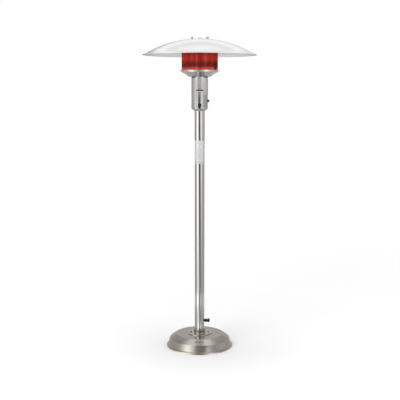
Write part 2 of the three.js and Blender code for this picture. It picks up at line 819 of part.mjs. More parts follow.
function makeReflector() {
  const centre = crownTop - crownRadius;
  const edgeAngle = Math.acos(crownEdge / crownRadius);
  const rim = reflectorDiameter / 2;
  const crownFoot = centre + crownRadius * Math.sin(edgeAngle);
  const outline = sheetOutline([
    [rim, crownFoot - brimDrop - hemHeight],
    [rim, crownFoot - brimDrop],
    ...arc(0, centre, crownRadius, edgeAngle, Math.PI / 2, crownSteps),
  ], reflectorSheet);
  const wingTurns = [0.5, -0.9, 0.12];
  const holes = thirds.map((angle, i) => {
    const [x, y] = onCircle(studCircle, angle);
    return rod(studRadius + gap, 4 * overrun, sidesTiny).rotateZ(wingTurns[i])
      .translate(x, y, crownTop - 3 * overrun);
  });
  add("reflector", cut(turned(outline, sidesLarge), holes), "bright", 0, 0, 0);

  const wings = wingShape();
  thirds.forEach((angle, i) => {
    const [x, y] = onCircle(studCircle, angle);
    const place = (name, geometry, z) => add(`${name}_${i + 1}`, geometry, "zinc", x, y, z, wingTurns[i]);
    const studLength = nutBottom + nutHeight + wingThickness - capTop - gap;
    const stud = turned([
      [0, 0],
      [studFootRadius, 0],
      [studFootRadius, studFootHeight],
      [studRadius, studFootHeight],
      [studRadius, studLength],
      [0, studLength],
    ], sidesTiny);
    place("reflector_stud", stud, capTop + gap);
    place("stud_spacer", pipe(spacerRadius, spacerRadius - spacerWall, spacerLength, sidesTiny),
      spacerTop - spacerLength);
    place("nut_washer", pipe(washerRadius, studRadius + gap, washerThickness, sidesTiny), washerBottom);
    place("wing_nut", wings.clone(), nutBottom);
  });
}

// A wing nut: a tapered hub with a wing on each side
function wingShape() {
  const hub = turned([
    [0, 0],
    [nutRadius, 0],
    [nutTopRadius, nutHeight],
    [0, nutHeight],
  ], sidesTiny);
  const outline = new THREE.Shape();
  outline.moveTo(0, 0);
  outline.lineTo(nutRadius, 0);
  outline.lineTo(wingReach, wingHeight - 2 * wingRound);
  outline.absarc(wingReach - wingRound, wingHeight - wingRound, wingRound, 0, Math.PI, false);
  outline.lineTo(nutTopRadius / 2, nutHeight / 2);
  outline.lineTo(0, nutHeight / 2);
  const wing = raised(outline, wingThickness, 4).translate(0, 0, -wingThickness / 2).rotateX(Math.PI / 2);
  const other = wing.clone().rotateZ(Math.PI);
  const bore = rod(studRadius + gap, nutHeight + 2 * overrun, sidesTiny).translate(0, 0, -overrun);
  return cut(join([hub, wing, other]), [bore]);
}

makeBase();
makePost();
makeInlet();
makeHousing();
makeValve();
const igniterEnd = makeIgniter();
makeBurner();
const leadCircle = (headRadius + housingInner) / 2;
const leadFeet = [leadSpread, 0, -leadSpread].map((angle) => onCircle(leadCircle, Math.PI / 2 + angle));
makeBowl(leadFeet);
makeEmitter();
makePilot(igniterEnd, leadFeet);
makeReflector();

export default heater;
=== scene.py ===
import math

import bpy
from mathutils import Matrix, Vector


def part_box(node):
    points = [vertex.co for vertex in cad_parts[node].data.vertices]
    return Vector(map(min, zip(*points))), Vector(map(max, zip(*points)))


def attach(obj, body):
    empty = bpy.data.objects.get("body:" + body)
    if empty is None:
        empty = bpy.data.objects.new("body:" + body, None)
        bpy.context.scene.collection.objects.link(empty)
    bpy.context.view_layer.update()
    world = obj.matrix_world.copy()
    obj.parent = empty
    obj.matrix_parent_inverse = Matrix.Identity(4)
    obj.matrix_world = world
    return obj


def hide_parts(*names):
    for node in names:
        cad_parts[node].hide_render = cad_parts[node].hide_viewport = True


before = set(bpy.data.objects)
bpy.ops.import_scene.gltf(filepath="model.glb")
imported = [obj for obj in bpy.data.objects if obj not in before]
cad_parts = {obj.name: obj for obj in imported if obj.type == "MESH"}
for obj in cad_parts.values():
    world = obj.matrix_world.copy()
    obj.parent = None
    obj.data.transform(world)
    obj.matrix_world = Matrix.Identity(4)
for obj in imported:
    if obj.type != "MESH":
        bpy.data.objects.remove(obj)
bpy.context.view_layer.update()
print("frame loaded:", len(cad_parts), "nodes")

milli = 0.001   # all below is in millimetres; Blender works in metres
hair = 1e-6     # closer is the same place
axis = (0, 0, 0)
quarter = math.pi / 2
towardsRight = (0, quarter, 0)   # turns that lay an upright shape along X or -Y
towardsFront = (quarter, 0, 0)


# Tools

def switchTo(mode):
    bpy.ops.object.mode_set(mode=mode)


def selectAll():
    bpy.ops.mesh.select_all(action="SELECT")


def makeActive(piece):
    bpy.ops.object.select_all(action="DESELECT")
    piece.select_set(True)
    bpy.context.view_layer.objects.active = piece


def applyPlace():
    bpy.ops.object.transform_apply(location=True, rotation=True, scale=True)


def named(name):
    # names what an operator made, and puts its place in its mesh
    piece = bpy.context.object
    piece.name = piece.data.name = name
    applyPlace()
    return piece


def nodeBox(node):
    low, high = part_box(node)
    return low / milli, high / milli


def middleOf(node):
    low, high = nodeBox(node)
    return (low + high) / 2


def onCircle(radius, angle, centre=(0, 0)):
    return centre[0] + radius * math.cos(angle), centre[1] + radius * math.sin(angle)


def arcPoints(centre, radius, start, end, steps):
    turns = [start + (end - start) * i / steps for i in range(steps + 1)]
    return [onCircle(radius, math.radians(turn), centre) for turn in turns]


def rounded(corners, steps=4, closed=False):
    # corners are (radius, height) or (radius, height, fillet)
    outline = []
    last = len(corners) - 1
    for i, corner in enumerate(corners):
        here = Vector(corner[:2])
        fillet = corner[2] if len(corner) > 2 else 0
        if not fillet or (not closed and i in (0, last)):
            outline.append(tuple(here))
            continue
        before = (Vector(corners[i - 1][:2]) - here).normalized()
        after = (Vector(corners[(i + 1) % len(corners)][:2]) - here).normalized()
        half = before.angle(after) / 2
        centre = here + (before + after).normalized() * fillet / math.sin(half)
        start = here + before * fillet / math.tan(half) - centre
        end = here + after * fillet / math.tan(half) - centre
        first = math.atan2(start.y, start.x)
        sweep = (math.atan2(end.y, end.x) - first + math.pi) % (2 * math.pi) - math.pi
        outline += [onCircle(fillet, first + sweep * step / steps, centre) for step in range(steps + 1)]
    return outline


def turnShell(name, outline, sides, closed=False):
    # a ring per outline point; a zero radius closes a pole, level with the next ring at the start
    rings = [point for point in outline if point[0] > hair]
    radius, height = rings[0]
    fill = "TRIFAN" if outline[0][0] < hair else "NOTHING"
    bpy.ops.mesh.primitive_circle_add(vertices=sides, radius=radius * milli, fill_type=fill,
                                      location=(0, 0, height * milli))
    piece = named(name)
    switchTo("EDIT")
    bpy.ops.mesh.select_mode(type="EDGE")
    selectAll()
    if fill == "TRIFAN":
        bpy.ops.mesh.region_to_loop()
    if closed:
        rings.append(rings[0])
    for (before, low), (after, high) in zip(rings, rings[1:]):
        bpy.ops.mesh.extrude_edges_move(TRANSFORM_OT_translate={"value": (0, 0, (high - low) * milli)})
        bpy.ops.transform.resize(value=(after / before, after / before, 1),
                                 center_override=(0, 0, high * milli))
    if outline[-1][0] < hair:
        rise = outline[-1][1] - rings[-1][1]
        bpy.ops.mesh.extrude_edges_move(TRANSFORM_OT_translate={"value": (0, 0, rise * milli)})
        bpy.ops.mesh.merge(type="CENTER")
    selectAll()
    if closed:
        bpy.ops.mesh.remove_doubles(threshold=hair)
    bpy.ops.mesh.normals_make_consistent(inside=False)
    switchTo("OBJECT")
    return piece


def spun(name, corners, steps, sides, closed=False):
    return turnShell(name, rounded(corners, steps, closed), sides, closed)


def tube(name, inner, outer, low, high, fillets, steps, sides):
    # fillets: inner foot, outer foot, outer top, inner top
    corners = [(inner, low), (outer, low), (outer, high), (inner, high)]
    return spun(name, [(*corner, fillet) for corner, fillet in zip(corners, fillets)], steps, sides, True)


def selectPart(piece, kind, test):
    # leaves edit mode on, with the parts selected whose middle and corners pass the test
    switchTo("EDIT")
    bpy.ops.mesh.select_mode(type=kind)
    bpy.ops.mesh.select_all(action="DESELECT")
    switchTo("OBJECT")
    mesh = piece.data
    for part in {"FACE": mesh.polygons, "EDGE": mesh.edges, "VERT": mesh.vertices}[kind]:
        corners = [part.co] if kind == "VERT" else [mesh.vertices[i].co for i in part.vertices]
        part.select = test(sum(corners, Vector()) / len(corners), corners)
    switchTo("EDIT")


def modify(piece, kind, **settings):
    makeActive(piece)
    modifier = piece.modifiers.new(kind.title(), kind)
    for key, value in settings.items():
        setattr(modifier, key, value)
    bpy.ops.object.modifier_apply(modifier=modifier.name)


def thicken(piece, thickness):
    modify(piece, "SOLIDIFY", thickness=thickness * milli, offset=-1, use_even_offset=True)


def bevelEdges(piece, width, segments=2, angle=35):
    modify(piece, "BEVEL", width=width * milli, segments=segments, limit_method="ANGLE",
           angle_limit=math.radians(angle), use_clamp_overlap=True)


def combine(piece, operation, others):
    for other in others:
        modify(piece, "BOOLEAN", object=other, operation=operation, solver="EXACT")
        bpy.data.objects.remove(other)


def cutWith(piece, *cutters):
    combine(piece, "DIFFERENCE", cutters)


def joinWith(piece, *others):
    combine(piece, "UNION", others)


def block(low, high):
    size = [(b - a) * milli for a, b in zip(low, high)]
    middle = [(a + b) / 2 * milli for a, b in zip(low, high)]
    bpy.ops.mesh.primitive_cube_add(size=1, location=middle, scale=size)
    return named("block")


def drum(radius, low, high, sides=32, place=(0, 0), name="drum"):
    middle = [value * milli for value in (*place, (low + high) / 2)]
    bpy.ops.mesh.primitive_cylinder_add(vertices=sides, radius=radius * milli, depth=(high - low) * milli,
                                        location=middle)
    return named(name)


def settle(piece, place=axis, turn=axis):
    # moves and turns a finished shape, then puts its place in its mesh
    makeActive(piece)
    piece.rotation_euler = turn
    piece.location = [value * milli for value in place]
    applyPlace()
    return piece


def copyOf(piece, name):
    twin = piece.copy()
    twin.data = piece.data.copy()
    twin.name = twin.data.name = name
    bpy.context.collection.objects.link(twin)
    return twin


def hullWith(piece, other):
    # one convex body round both
    makeActive(piece)
    other.select_set(True)
    bpy.ops.object.join()
    switchTo("EDIT")
    selectAll()
    bpy.ops.mesh.convex_hull()
    selectAll()
    bpy.ops.mesh.dissolve_limited(angle_limit=math.radians(1))
    switchTo("OBJECT")


def wedge(piece, halfAngle, facing):
    # keeps what lies within halfAngle of the direction facing, both in radians and under a quarter turn
    makeActive(piece)
    for side in (-1, 1):
        switchTo("EDIT")
        selectAll()
        across = onCircle(1, facing + side * (halfAngle + quarter))
        bpy.ops.mesh.bisect(plane_co=axis, plane_no=(*across, 0), use_fill=True, clear_outer=True)
        switchTo("OBJECT")


def finishPiece(piece, finish, slot, *nodes, body="stand", smooth=32):
    makeActive(piece)
    bpy.ops.object.shade_smooth_by_angle(angle=math.radians(smooth))
    modify(piece, "WEIGHTED_NORMAL", mode="FACE_AREA", keep_sharp=True)
    piece.data.materials.clear()
    piece.data.materials.append(finish)
    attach(piece, body)
    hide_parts(*nodes)


def finishRow(piece, finish, slot, node, places, turns):
    # copies a shape at the origin, and puts all in their places
    row = [piece] + [copyOf(piece, f"{piece.name[:-1]}{i}") for i in range(2, len(places) + 1)]
    for i, (twin, place, turn) in enumerate(zip(row, places, turns), 1):
        settle(twin, place, (0, 0, turn))
        finishPiece(twin, finish, slot, f"{node}_{i}")


# Finishes

def setInputs(node, inputs):
    for key, value in inputs.items():
        if isinstance(value, bpy.types.NodeSocket):
            node.id_data.links.new(value, node.inputs[key])
        else:
            node.inputs[key].default_value = value


def addNode(near, kind, inputs, output=0, **settings):
    # adds to the tree of a node or socket, and gives one output
    node = near.id_data.nodes.new("ShaderNode" + kind)
    for key, value in settings.items():
        setattr(node, key, value)
    setInputs(node, inputs)
    return node.outputs[output]


def placeNode(near):
    return addNode(near, "TexCoord", {}, "Object")


def splitNode(place):
    return addNode(place, "SeparateXYZ", {0: place}).node.outputs


def scaledNode(place, scale):
    return addNode(place, "Mapping", {0: place, 3: scale})


def mathNode(operation, first, second=0, third=0):
    return addNode(first, "Math", {0: first, 1: second, 2: third}, operation=operation)


def noiseNode(place, scale, detail=2, rough=0.5):
    return addNode(place, "TexNoise", {"Vector": place, "Scale": scale, "Detail": detail, "Roughness": rough})


def rangeNode(value, low, high, start=0.3, end=0.7):
    return addNode(value, "MapRange", {0: value, 1: start, 2: end, 3: low, 4: high})


def mixNode(factor, *ends, **settings):
    # each end is a colour or another node's output
    first, second = [(*end, 1) if isinstance(end, tuple) else end for end in ends]
    return addNode(factor, "Mix", {0: factor, 6: first, 7: second}, 2, data_type="RGBA", **settings)


def rampNode(factor, stops):
    ramp = addNode(factor, "ValToRGB", {0: factor})
    elements = ramp.node.color_ramp.elements
    for i, (spot, level) in enumerate(stops):
        element = elements[i] if i < 2 else elements.new(spot)
        element.position = spot
        element.color = (level, level, level, 1)
    return ramp


def startFinish(name, colour, roughness, metallic):
    finish = bpy.data.materials.new(name)
    finish.use_nodes = True
    shader = finish.node_tree.nodes["Principled BSDF"]
    setInputs(shader, {"Base Color": (*colour, 1), "Roughness": roughness, "Metallic": metallic})
    return finish, shader


def setGrain(shader, blend, dark, light, rough, grain, bump, depth):
    # colour and roughness follow a blend of grains, and one grain stands up
    colour = mixNode(rangeNode(blend, 0, 1), dark, light)
    setInputs(shader, {
        "Base Color": colour, "Roughness": rangeNode(blend, rough[1], rough[0]),
        "Normal": addNode(grain, "Bump", {"Height": grain, "Strength": bump, "Distance": depth})})
    return colour


def grainVector(near, around, across):
    # slow round the upright axis and quick across it, on walls and flat discs alike
    place = placeNode(near)
    x, y, z = splitNode(place)
    squares = mathNode("MULTIPLY_ADD", x, x, mathNode("MULTIPLY", y, y))
    along = mathNode("MULTIPLY_ADD", mathNode("SQRT", squares), 1.3, z)
    joined = addNode(near, "CombineXYZ", {0: x, 1: y, 2: along})
    return place, scaledNode(joined, (around, around, across))


def brushedMetal(name, light, dark, rough, around, across, smudge, bump, stretch, shade=None):
    # painted shade: the colour goes from one share of itself to another between two heights in metres
    finish, shader = startFinish(name, light, rough[1], 1)
    place, grain = grainVector(shader, around, across)
    lines = noiseNode(grain, 1, 3, 0.6)
    smudges = noiseNode(place, smudge, 3, 0.55)
    blend = mathNode("MULTIPLY_ADD", lines, 0.6, mathNode("MULTIPLY", smudges, 0.4))
    colour = setGrain(shader, blend, dark, light, rough, lines, bump, 0.0002)
    if shade:
        share = rangeNode(splitNode(place)[2], *shade)
        setInputs(shader, {"Base Color": mixNode(share, (0, 0, 0), colour)})
    if stretch:
        tangent = addNode(shader, "Tangent", {}, direction_type="RADIAL", axis="Z")
        setInputs(shader, {"Anisotropic": stretch, "Anisotropic Rotation": 0.25, "Tangent": tangent})
    return finish


def plainGrain(name, light, dark, rough, metal, grain, bump):
    # moulded, cast, plated or fired: an even grain with slight colour and roughness variation
    finish, shader = startFinish(name, light, rough[1], metal)
    place = placeNode(shader)
    fine = noiseNode(place, grain, 4, 0.6)
    broad = noiseNode(place, grain / 12)
    blend = mathNode("MULTIPLY_ADD", fine, 0.5, mathNode("MULTIPLY", broad, 0.5))
    setGrain(shader, blend, dark, light, rough, fine, bump, 0.0003)
    return finish


# name, light and dark colour, roughness from and to, frequency round, across and of smudges, bump,
# anisotropy, painted shade
polishedSteel = brushedMetal(
    "polishedSteel", (0.8, 0.79, 0.77), (0.72, 0.71, 0.68), (0.08, 0.13), 5, 1400, 9, 0.04, 0.7)
satinSteel = brushedMetal(
    "satinSteel", (0.66, 0.65, 0.645), (0.57, 0.56, 0.555), (0.18, 0.24), 6, 1100, 12, 0.08, 0.4)
panelSteel = brushedMetal(
    "panelSteel", (0.54, 0.54, 0.55), (0.46, 0.46, 0.465), (0.22, 0.3), 6, 1000, 12, 0.08, 0.4)
# painted shade: the spigot and the underside of the bowl floor, seen through the housing's notches, are
# darkened to 0.38 of the colour
bowlSteel = brushedMetal(
    "bowlSteel", (0.72, 0.71, 0.715), (0.63, 0.62, 0.625), (0.16, 0.23), 4, 900, 10, 0.08, 0.4,
    (0.38, 1, 2.0856, 2.0880))
warmSteel = brushedMetal(
    "warmSteel", (0.65, 0.61, 0.55), (0.55, 0.505, 0.44), (0.16, 0.23), 3, 700, 8, 0.1, 0.5)
# painted shade: the collar above the flange plate is darkened to 0.45 of the colour
flangeSteel = brushedMetal(
    "flangeSteel", (0.84, 0.77, 0.69), (0.72, 0.65, 0.57), (0.2, 0.28), 4, 800, 14, 0.1, 0.3,
    (1, 0.45, 0.1085, 0.1125))
dullSteel = brushedMetal(
    "dullSteel", (0.42, 0.42, 0.42), (0.33, 0.33, 0.32), (0.3, 0.42), 8, 900, 14, 0.08, 0.5)
spunAluminium = brushedMetal(
    "spunAluminium", (0.93, 0.93, 0.925), (0.86, 0.86, 0.85), (0.16, 0.24), 1.5, 260, 5, 0.04, 0)

# name, light and dark colour, roughness from and to, metal, grain frequency, bump
zincSteel = plainGrain("zincSteel", (0.56, 0.56, 0.57), (0.4, 0.4, 0.41), (0.28, 0.42), 1, 900, 0.15)
valveAlloy = plainGrain("valveAlloy", (0.36, 0.36, 0.35), (0.25, 0.25, 0.25), (0.45, 0.6), 1, 500, 0.3)
castIron = plainGrain("castIron", (0.075, 0.077, 0.08), (0.035, 0.035, 0.036), (0.65, 0.85), 0.4, 260, 0.6)
footRubber = plainGrain("footRubber", (0.028, 0.029, 0.031), (0.016, 0.017, 0.018), (0.7, 0.85), 0, 700, 0.4)
turnedBrass = plainGrain("turnedBrass", (0.62, 0.42, 0.16), (0.47, 0.31, 0.11), (0.24, 0.38), 1, 800, 0.12)
knobPlastic = plainGrain(
    "knobPlastic", (0.016, 0.017, 0.019), (0.008, 0.008, 0.009), (0.3, 0.42), 0, 1500, 0.15)
fittingBlack = plainGrain(
    "fittingBlack", (0.012, 0.012, 0.013), (0.005, 0.005, 0.006), (0.38, 0.5), 0, 1100, 0.2)
whiteCeramic = plainGrain("whiteCeramic", (0.75, 0.74, 0.7), (0.64, 0.62, 0.58), (0.35, 0.5), 0, 600, 0.1)
print("finishes made")


# Base

coverLook = {
    "rimCentre": (248, 8.8), "rimRoll": 7.4, "wallFoot": (242.2, 16.6, 3.5), "shoulder": (232.2, 66.5, 8),
    "bulge": (206.5, 86.4, 90), "discEdge": (181, 101, 10), "hole": 25, "sheet": 1.5, "sides": 192}


def makeCover():
    look = coverLook
    roll = arcPoints(look["rimCentre"], look["rimRoll"], -215, 70, 16)
    hole, top = look["hole"], look["discEdge"][1]
    rest = rounded([roll[-1], look["wallFoot"], look["shoulder"], look["bulge"], look["discEdge"],
                    (hole * 4, top), (hole, top)], 6)
    cover = turnShell("baseCover", roll[:-1] + rest, look["sides"])
    thicken(cover, look["sheet"])
    finishPiece(cover, warmSteel, "satin_steel", "base_cover")


footLook = {"radius": 18, "round": 1.6, "recess": (7, 2.2), "sides": 48}


def makeFeet():
    look = footLook
    low, high = nodeBox("base_foot_1")
    radius, fillet = look["radius"], look["round"]
    hollow, depth = look["recess"]
    foot = spun("baseFoot1", [
        (0, high.z), (radius, high.z, fillet / 2), (radius, low.z, fillet), (hollow, low.z, 0.5),
        (hollow, low.z + depth, 0.5), (0, low.z + depth)], 3, look["sides"])
    places = [(*middleOf(f"base_foot_{i}")[:2], 0) for i in range(1, 5)]
    finishRow(foot, footRubber, "rubber", "base_foot", places, (0, 0, 0, 0))


flangeLook = {
    "radius": 92, "thickness": 5.7, "edge": 1.6, "collarHeight": 20, "collarWall": 7.6, "neckRound": 3,
    "bore": 28, "seat": 37.9, "boltCircle": 67, "boltHole": 4.6, "sides": 128}
boltLook = {
    "washerRadius": 10.4, "washerHeight": 1.3, "headRadius": 7.5, "headHeight": 5.3, "chamfer": 0.9,
    "shank": 3.9, "length": 24, "turns": (0.2, 1.1, 0.6, -0.3), "float": 0.05}


def makeFlange():
    look = flangeLook
    base = nodeBox("post_flange")[0].z
    top = base + look["thickness"]
    crest = top + look["collarHeight"]
    bore, radius, seat = look["bore"], look["radius"], look["seat"]
    outer = seat + look["collarWall"]
    flange = spun("postFlange", [
        (bore, base), (radius, base, 0.5), (radius, top, look["edge"]), (outer, top, look["neckRound"]),
        (outer, crest, 2.4), (seat, crest, 0.6), (seat, top), (bore, top)], 5, look["sides"], True)
    spots = [onCircle(look["boltCircle"], i * quarter) for i in range(4)]
    cutWith(flange, *[drum(look["boltHole"], base - 4, top + 4, 32, spot) for spot in spots])
    finishPiece(flange, flangeSteel, "satin_steel", "post_flange")

    look = boltLook
    shank, length, head, foot = look["shank"], look["length"], look["headRadius"], look["washerHeight"]
    crown = foot + look["headHeight"]
    washer = tube("washer", shank, look["washerRadius"], 0, foot, (0, 0.3, 0.4, 0), 3, 48)
    bolt = drum(head, foot - 0.2, crown, 6, name="flangeBolt1")
    combine(bolt, "INTERSECT", [spun("crown", [
        (0, -length), (shank, -length, 0.8), (shank, -1), (head + 1, -1),
        (head + 1, foot + look["headHeight"] * 0.72), (head - look["chamfer"], crown - 0.1), (0, crown)],
        3, 48)])
    bevelEdges(bolt, 0.3, 2)
    joinWith(bolt, washer, drum(shank, -length, foot, 32))
    places = [(*spot, top + look["float"]) for spot in spots]
    finishRow(bolt, zincSteel, "zinc_steel", "flange_bolt", places, look["turns"])


makeCover()
makeFeet()
makeFlange()
print("base made")


# Post

postLook = {"radius": 37.6, "wall": 1.5, "inletHole": 8.6, "inletHeight": 200, "sides": 128}
sleeveLook = {"radius": 39.1, "wall": 1.2, "crimp": 1.1, "crimpRise": 12, "sides": 128}


def makePosts():
    look = postLook
    low, high = nodeBox("lower_post")
    radius = look["radius"]
    post = tube("lowerPost", radius - look["wall"], radius, low.z, high.z, (0, 0, 0.6, 0.4), 3, look["sides"])
    hole = drum(look["inletHole"], 0, 60, 48)
    cutWith(post, settle(hole, (0, 0, look["inletHeight"]), towardsRight))
    finishPiece(post, polishedSteel, "polished_steel", "lower_post")

    look = sleeveLook
    low, high = nodeBox("upper_post")
    radius = look["radius"]
    inner = radius - look["wall"]
    sleeve = spun("upperPost", [
        (inner, low.z), (radius - look["crimp"], low.z, 0.3), (radius, low.z + look["crimpRise"], 6),
        (radius, high.z), (inner, high.z)], 4, look["sides"], True)
    finishPiece(sleeve, polishedSteel, "polished_steel", "upper_post")


plateLook = {
    "radius": 38.35, "thickness": 0.4, "half": 112, "corner": 5, "sides": 180, "rows": 46,
    "light": (0.74, 0.74, 0.74), "dark": (0.64, 0.64, 0.65), "rough": (0.38, 0.48), "grain": (40, 40, 14),
    "line": (0.3, 0.3, 0.31), "lineRise": 9, "lineHalf": 1.2}


def makePlate():
    look = plateLook
    low, high = nodeBox("data_plate")
    radius, corner = look["radius"], look["corner"]
    heights = [low.z + (high.z - low.z) * i / look["rows"] for i in range(look["rows"] + 1)]
    plate = turnShell("dataPlate", [(radius, z) for z in heights], look["sides"])
    reach = math.radians(look["half"])
    tall = (high.z - low.z) / 2

    def outside(point, corners):
        angle = abs(math.atan2(point.x, -point.y))
        across = angle * radius - (radius * reach - corner)
        up = abs(point.z / milli - (high.z + low.z) / 2) - (tall - corner)
        return angle > reach or (across > 0 and up > 0 and math.hypot(across, up) > corner)
    selectPart(plate, "FACE", outside)
    bpy.ops.mesh.delete(type="FACE")
    switchTo("OBJECT")
    thicken(plate, look["thickness"])
    finishPiece(plate, makePlateFinish(low.z), "plate_foil", "data_plate")


def makePlateFinish(bottom):
    # bare foil: pale, faintly mottled, with one thin pressed line near its lower edge
    look = plateLook
    finish, shader = startFinish("plateFoil", look["light"], 0.4, 0.4)
    place = placeNode(shader)
    mottle = noiseNode(scaledNode(place, look["grain"]), 1, 3, 0.6)
    colour = setGrain(shader, mottle, look["dark"], look["light"], look["rough"], mottle, 0.12, 0.0008)
    rise = mathNode("SUBTRACT", splitNode(place)[2], (bottom + look["lineRise"]) * milli)
    line = mathNode("LESS_THAN", mathNode("ABSOLUTE", rise), look["lineHalf"] * milli)
    setInputs(shader, {"Base Color": mixNode(line, colour, look["line"])})
    return finish


makePosts()
makePlate()
print("post made")


# Gas inlet

inletLook = {
    "neck": 8.3, "bulge": 13.2, "barrel": 10.4, "mouth": 6.5, "mouthDepth": 15, "bulgeSpan": (41.6, 58.6),
    "bulgeRamp": 4.2, "height": 200, "hexRadius": 13.55, "hexSpan": (43.6, 56.6), "sides": 96}
collarLook = {
    "outer": 15, "inner": 10.7, "grooves": 4, "grooveDepth": 0.8, "grooveFoot": 0.35, "grooveTop": 0.75,
    "edge": 1.8, "margin": 2.3, "sides": 96}


def makeInlet():
    look = inletLook
    low, high = nodeBox("gas_inlet_fitting")
    end = high.x
    bottom = end - look["mouthDepth"]
    (first, last), ramp = look["bulgeSpan"], look["bulgeRamp"]
    neck, bulge, barrel, mouth = look["neck"], look["bulge"], look["barrel"], look["mouth"]
    fitting = spun("gasInletFitting", [
        (0, low.x), (neck, low.x), (neck, first - 0.8, 0.4), (barrel, first, 0.4), (bulge, first + ramp, 1.5),
        (bulge, last - ramp, 1.5), (barrel, last, 0.8), (barrel, end, 0.9), (mouth, end, 0.9),
        (mouth, bottom, 0.5), (0, bottom)], 4, look["sides"])
    hexagon = drum(look["hexRadius"], *look["hexSpan"], 6)
    bevelEdges(hexagon, 0.8, 3)
    joinWith(fitting, hexagon)
    settle(fitting, (0, 0, look["height"]), towardsRight)
    finishPiece(fitting, fittingBlack, "black_fitting", "gas_inlet_fitting")

    look = collarLook
    low, high = nodeBox("inlet_collar")
    outer, inner, edge, margin = look["outer"], look["inner"], look["edge"], look["margin"]
    groove, foot, mouth = outer - look["grooveDepth"], look["grooveFoot"], look["grooveTop"]
    corners = [(inner, low.x, 0.3), (outer - edge, low.x, 0.8), (outer, low.x + edge, 0.8)]
    pitch = (high.x - low.x - 2 * margin) / look["grooves"]
    for i in range(look["grooves"]):
        middle = low.x + margin + (i + 0.5) * pitch
        corners += [(outer, middle - mouth), (groove, middle - foot), (groove, middle + foot),
                    (outer, middle + mouth)]
    corners += [(outer, high.x - edge, 0.8), (outer - edge, high.x, 0.8), (inner, high.x, 0.3)]
    collar = spun("inletCollar", corners, 3, look["sides"], True)
    settle(collar, (0, 0, inletLook["height"]), towardsRight)
    finishPiece(collar, fittingBlack, "black_fitting", "inlet_collar", body="inlet_lock")


makeInlet()
print("inlet made")


# Control housing

coneLook = {"foot": 40.9, "radius": 63, "rise": 17, "band": 8.7, "lip": 61.2, "sheet": 1.5, "sides": 128}
housingLook = {
    "radius": 63, "sheet": 1.5, "height": 230, "slotHalf": 26, "slotHeight": 133, "slotCorner": 3,
    "sideArc": 1.18, "sideHeight": 92, "tabHalf": 26, "tabBend": 79.1, "tabEnd": 97, "slope": 0.555,
    "notchHalf": 24, "notchDepth": 9, "footRoll": 0.8, "edge": 0.4, "far": 90, "sides": 160}


def makeCone():
    look = coneLook
    low, high = nodeBox("housing_cone")
    foot, radius, lip, base = look["foot"], look["radius"], look["lip"], low.z
    bandFoot = base + look["rise"]
    bandTop = bandFoot + look["band"]
    cone = spun("housingCone", [
        (foot, base), (foot, base + look["sheet"], 0.8), (radius, bandFoot, 2.5), (radius, bandTop, 0.8),
        (lip, bandTop, 0.5), (lip, high.z)], 5, look["sides"])
    thicken(cone, look["sheet"])
    finishPiece(cone, satinSteel, "brushed_steel", "housing_cone")


def makeHousing():
    look = housingLook
    base = nodeBox("control_housing")[0].z
    top = base + look["height"]
    radius, sheet, far = look["radius"], look["sheet"], look["far"]
    bend, end, slope = look["tabBend"], look["tabEnd"], look["slope"]
    tip = top + (end - bend) * slope
    roll, inner = radius + look["footRoll"], radius - sheet
    housing = spun("controlHousing", [
        (radius, base), (roll, base + 5, 4), (roll, base + 9, 4), (radius, base + 15, 4),
        (radius, top, 2), (bend, top, 3), (end, tip, 0.4),
        (end - sheet * slope * 0.88, tip + sheet * 0.88, 0.4), (bend - sheet * 0.27, top + sheet, 2),
        (inner, top + sheet, 2.6), (inner, base)], 4, look["sides"], True)
    # the round-topped front slot, the opening behind the side panel, and what parts the four tabs
    half, tab = look["slotHalf"], look["tabHalf"]
    slot = block((-half, -far, base - 20), (half, 0, base + look["slotHeight"]))
    selectPart(slot, "EDGE",
               lambda point, ends: abs(ends[0].y - ends[1].y) > hair and point.z > base * milli)
    bpy.ops.mesh.bevel(offset=look["slotCorner"] * milli, segments=5)
    switchTo("OBJECT")
    side = block((0.5, -far, base - 20), (far, far, base + look["sideHeight"]))
    wedge(side, look["sideArc"], 0)
    corners = []
    notches = []
    for i in range(4):
        corner = block((tab, tab, top - 0.1), (150, 150, top + 60))
        corners.append(settle(corner, turn=(0, 0, i * quarter)))
        notch = drum(look["notchHalf"], 6, far, 64)
        notch.scale.x = look["notchDepth"] / look["notchHalf"]
        notches.append(settle(notch, (0, 0, top), (0, quarter, (i + 0.5) * quarter)))
    cutWith(housing, slot, side, *corners, *notches)
    bevelEdges(housing, look["edge"], 2, 60)
    finishPiece(housing, satinSteel, "brushed_steel", "control_housing")


shroudLook = {
    "radius": 59.2, "sheet": 1.5, "arc": 0.95, "facing": -quarter, "fillets": (0, 0, 1, 0.4), "steps": 4,
    "hole": 4.9, "holeSpan": (30, 80), "holeTurn": towardsFront, "through": "valve_stem", "sides": 128}
panelLook = {
    "radius": 60.9, "sheet": 1.2, "arc": 1.18, "facing": 0, "fillets": (0, 0.4, 0.4, 0), "steps": 3,
    "hole": 8.8, "holeSpan": (40, 80), "holeTurn": towardsRight, "through": "igniter_button", "sides": 128}


def makeCurvedSheet(name, look, finish, slot, node):
    # part of a tube, with a round hole for what comes through it
    low, high = nodeBox(node)
    radius = look["radius"]
    sheet = tube(name, radius - look["sheet"], radius, low.z, high.z, look["fillets"], look["steps"],
                 look["sides"])
    wedge(sheet, look["arc"], look["facing"])
    hole = drum(look["hole"], *look["holeSpan"], 48)
    cutWith(sheet, settle(hole, (0, 0, middleOf(look["through"]).z), look["holeTurn"]))
    finishPiece(sheet, finish, slot, node)


knobLook = {
    "head": 13.5, "tip": 2.4, "reach": 28.5, "depth": 15, "edge": 2.6, "ridgeHalf": 1.1, "ridgeRise": 1.3,
    "socket": 4.3, "stem": 4, "axisHeight": 1873.8}


